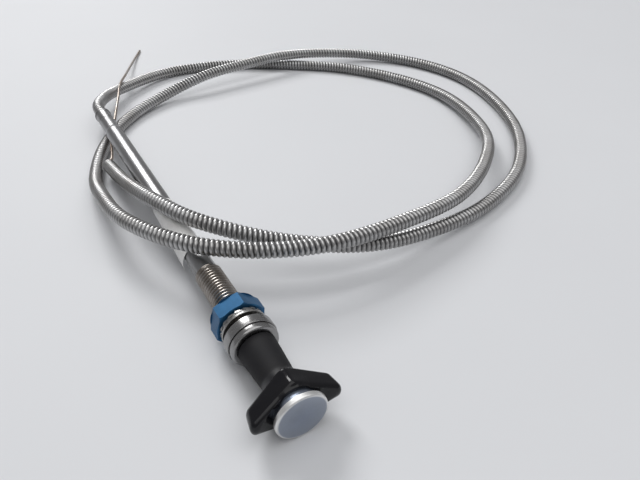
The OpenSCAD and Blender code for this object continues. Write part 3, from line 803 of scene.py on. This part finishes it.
# The tube's spigot sits in the shank, and its far end is swaged down to the casing's width.
tubeLook = dict(
    start=-73.5, shoulder=-61.5, radius=6.6, bore=5.9, spigot=6.2, spigotBore=5.2, boreStep=1,
    spigotEdge=0.3, shoulderEdge=0.2, swage=137, swageRadius=6, swageEdge=1.2, wall=0.7, taper=3,
    boreEdge=0.5, end=headLook["tubeEnd"], lip=6.5, lipWidth=2.2, lipRise=0.3, lipEdge=0.4,
    endEdge=0.9, mouthEdge=0.3, crimps=(160,), crimpDepth=0.4, crimpHalf=1.4, crimpEdge=0.6,
    crimpFloor=0.8, sides=120)


def makeTube(look):
    start, shoulder, swage, end = look["start"], look["shoulder"], look["swage"], look["end"]
    small, inner = look["swageRadius"], look["swageRadius"] - look["wall"]
    swaged, lipStart = swage + look["taper"], end - look["lipWidth"]
    step = shoulder + look["boreStep"]
    corners = [
        (start, look["spigotBore"], 0), (start, look["spigot"], look["spigotEdge"]),
        (shoulder, look["spigot"], 0), (shoulder, look["radius"], look["shoulderEdge"]),
        (swage, look["radius"], look["swageEdge"]), (swaged, small, look["swageEdge"])]
    for station in look["crimps"]:
        corners += [
            (station - look["crimpHalf"], small, look["crimpEdge"]),
            (station, small - look["crimpDepth"], look["crimpFloor"]),
            (station + look["crimpHalf"], small, look["crimpEdge"])]
    corners += [
        (lipStart, small, look["lipEdge"]),
        (lipStart + look["lipRise"], look["lip"], look["lipEdge"]),
        (end, look["lip"], look["endEdge"]), (end, inner, look["mouthEdge"]),
        (swaged, inner, look["boreEdge"]), (swage, look["bore"], look["boreEdge"]),
        (step, look["bore"], 0), (step, look["spigotBore"], 0)]
    addTurned("guideTube", corners, look["sides"], "housing", "tube_steel", ["guide_tube"],
              closed=True)


makeTube(tubeLook)

# The label's free edge stands off the tube, most at the shank's end, where it also wraps on for
# looseWrap degrees. Each wrinkle is (size, scale along the tube, scale round it, seed).
labelLook = dict(
    start=-43, stop=16, radius=6.92, paper=0.13, wrapStart=-95, wrapStop=196, looseWrap=26,
    loosePower=1.5, lift=3.4, liftFrom=150, liftLeast=0.5, liftPower=1.6, wrinkle=0.12,
    wrinkles=((1, 0.16, 0.028, 3.1), (0.5, 0.5, 0.06, 7.7)), standOff=0.6, waver=0.8, rows=90,
    columns=110, sharp=80)


def makeLabel(look):
    points = []
    for i in range(look["rows"] + 1):
        along = i / look["rows"]
        station = look["start"] + (look["stop"] - look["start"]) * along
        loose = (1 - along) ** look["loosePower"]
        stop = look["wrapStop"] + look["looseWrap"] * loose
        for k in range(look["columns"] + 1):
            share = k / look["columns"]
            angle = look["wrapStart"] + (stop - look["wrapStart"]) * share
            past = max(0.0, (angle - look["liftFrom"]) / (stop - look["liftFrom"]))
            lifted = past ** look["liftPower"] * (look["liftLeast"] + look["lift"] * loose)
            rough = sum(size * noise.noise(Vector((station * a, angle * b, seed)))
                        for size, a, b, seed in look["wrinkles"])
            radius = look["radius"] + lifted + look["wrinkle"] * (rough + look["standOff"])
            points.append(onHead(station + look["waver"] * past * rough, radius, angle))
    faces = gridFaces(look["rows"] + 1, look["columns"] + 1, closeColumns=False)
    label = addPiece("paperLabel", points, faces, "housing", "paper", ["paper_label"],
                     look["sharp"])
    thick = label.modifiers.new("thickness", "SOLIDIFY")
    thick.thickness, thick.offset = look["paper"] * mm, 0


makeLabel(labelLook)
print("guide tube and label made")

# the inner pieces keep their CAD shapes and get finishes
nodeFinishes = {
    "button_rod": "steel", "button_snap_ring": "spring_steel", "handle_grub_screw": "spring_steel",
    "slide_shaft": "steel", "lock_cage": "steel", "lock_cone": "bronze", "lock_ball_1": "steel",
    "lock_ball_2": "steel", "lock_ball_3": "steel", "shaft_wiper": "wiper_rubber",
    "tube_ferrule": "tube_steel", "drive_wire": "wire_steel"}
for name, slot in nodeFinishes.items():
    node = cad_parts[name]
    node.data.materials.clear()
    node.data.materials.append(finishes[slot])
print("inner pieces finished:", len(nodeFinishes))

# the floor's size is in metres
floorLook = dict(
    size=9, colour=(0.70, 0.71, 0.73), shade=(0.67, 0.68, 0.70), roughness=0.6, specular=0.25,
    patch=6, detail=5)


def makeFloor(look):
    half = look["size"] / 2
    corners = [(-half, -half, 0), (half, -half, 0), (half, half, 0), (-half, half, 0)]
    mesh = bpy.data.meshes.new("floor")
    mesh.from_pydata(corners, [], [(0, 1, 2, 3)])
    material, tree, shader = newMaterial("floorPaper")
    shader.inputs["Roughness"].default_value = look["roughness"]
    shader.inputs["Specular IOR Level"].default_value = look["specular"]
    place = addNode(tree, "ShaderNodeTexCoord")
    grain = addNode(tree, "ShaderNodeTexNoise", {
        "Vector": place.outputs["Object"], "Scale": look["patch"], "Detail": look["detail"]})
    colour = mixed(tree, grain.outputs["Fac"], (*look["colour"], 1), (*look["shade"], 1))
    tree.links.new(colour, shader.inputs["Base Color"])
    mesh.materials.append(material)
    newObject("floor", mesh)


makeFloor(floorLook)

# lamps stand at a distance in metres from the scene's middle and face it
lampLooks = [
    dict(name="overheadLamp", toward=(0.1, -0.25, 1), distance=2.0, wide=2.6, tall=2.6, power=24),
    dict(name="backLamp", toward=(0.05, 0.77, 0.63), distance=3.6, wide=1.35, tall=1.5, power=68),
]


def makeLamp(look):
    data = bpy.data.lights.new(look["name"], "AREA")
    data.shape, data.energy = "RECTANGLE", look["power"]
    data.size, data.size_y = look["wide"], look["tall"]
    obj = newObject(look["name"], data)
    toward = Vector(look["toward"]).normalized()
    obj.location = toward * look["distance"]
    obj.rotation_euler = toward.to_track_quat("Z", "Y").to_euler()


for look in lampLooks:
    makeLamp(look)

# greys of the room from straight below (0) to straight above (1), a little blue
skyLook = dict(stops=((0.0, 0.32), (0.5, 0.32), (0.6, 0.3), (0.75, 0.28), (1.0, 0.28)), blue=1.02)


def makeSky(look):
    world = bpy.data.worlds.new("studio")
    bpy.context.scene.world = world
    world.use_nodes = True
    tree = world.node_tree
    place = addNode(tree, "ShaderNodeTexCoord")
    split = addNode(tree, "ShaderNodeSeparateXYZ", {"Vector": place.outputs["Generated"]})
    height = addNode(tree, "ShaderNodeMapRange", {"Value": split.outputs["Z"], "From Min": -1})
    ramp = addNode(tree, "ShaderNodeValToRGB", {"Fac": height.outputs["Result"]})
    stops = ramp.color_ramp.elements
    while len(stops) < len(look["stops"]):
        stops.new(0.5)
    for stop, (position, grey) in zip(stops, look["stops"]):
        stop.position, stop.color = position, (grey, grey, grey * look["blue"], 1)
    tree.links.new(ramp.outputs["Color"], tree.nodes["Background"].inputs["Color"])


makeSky(skyLook)
bpy.context.scene.view_settings.view_transform = "Standard"
print("floor and light set")
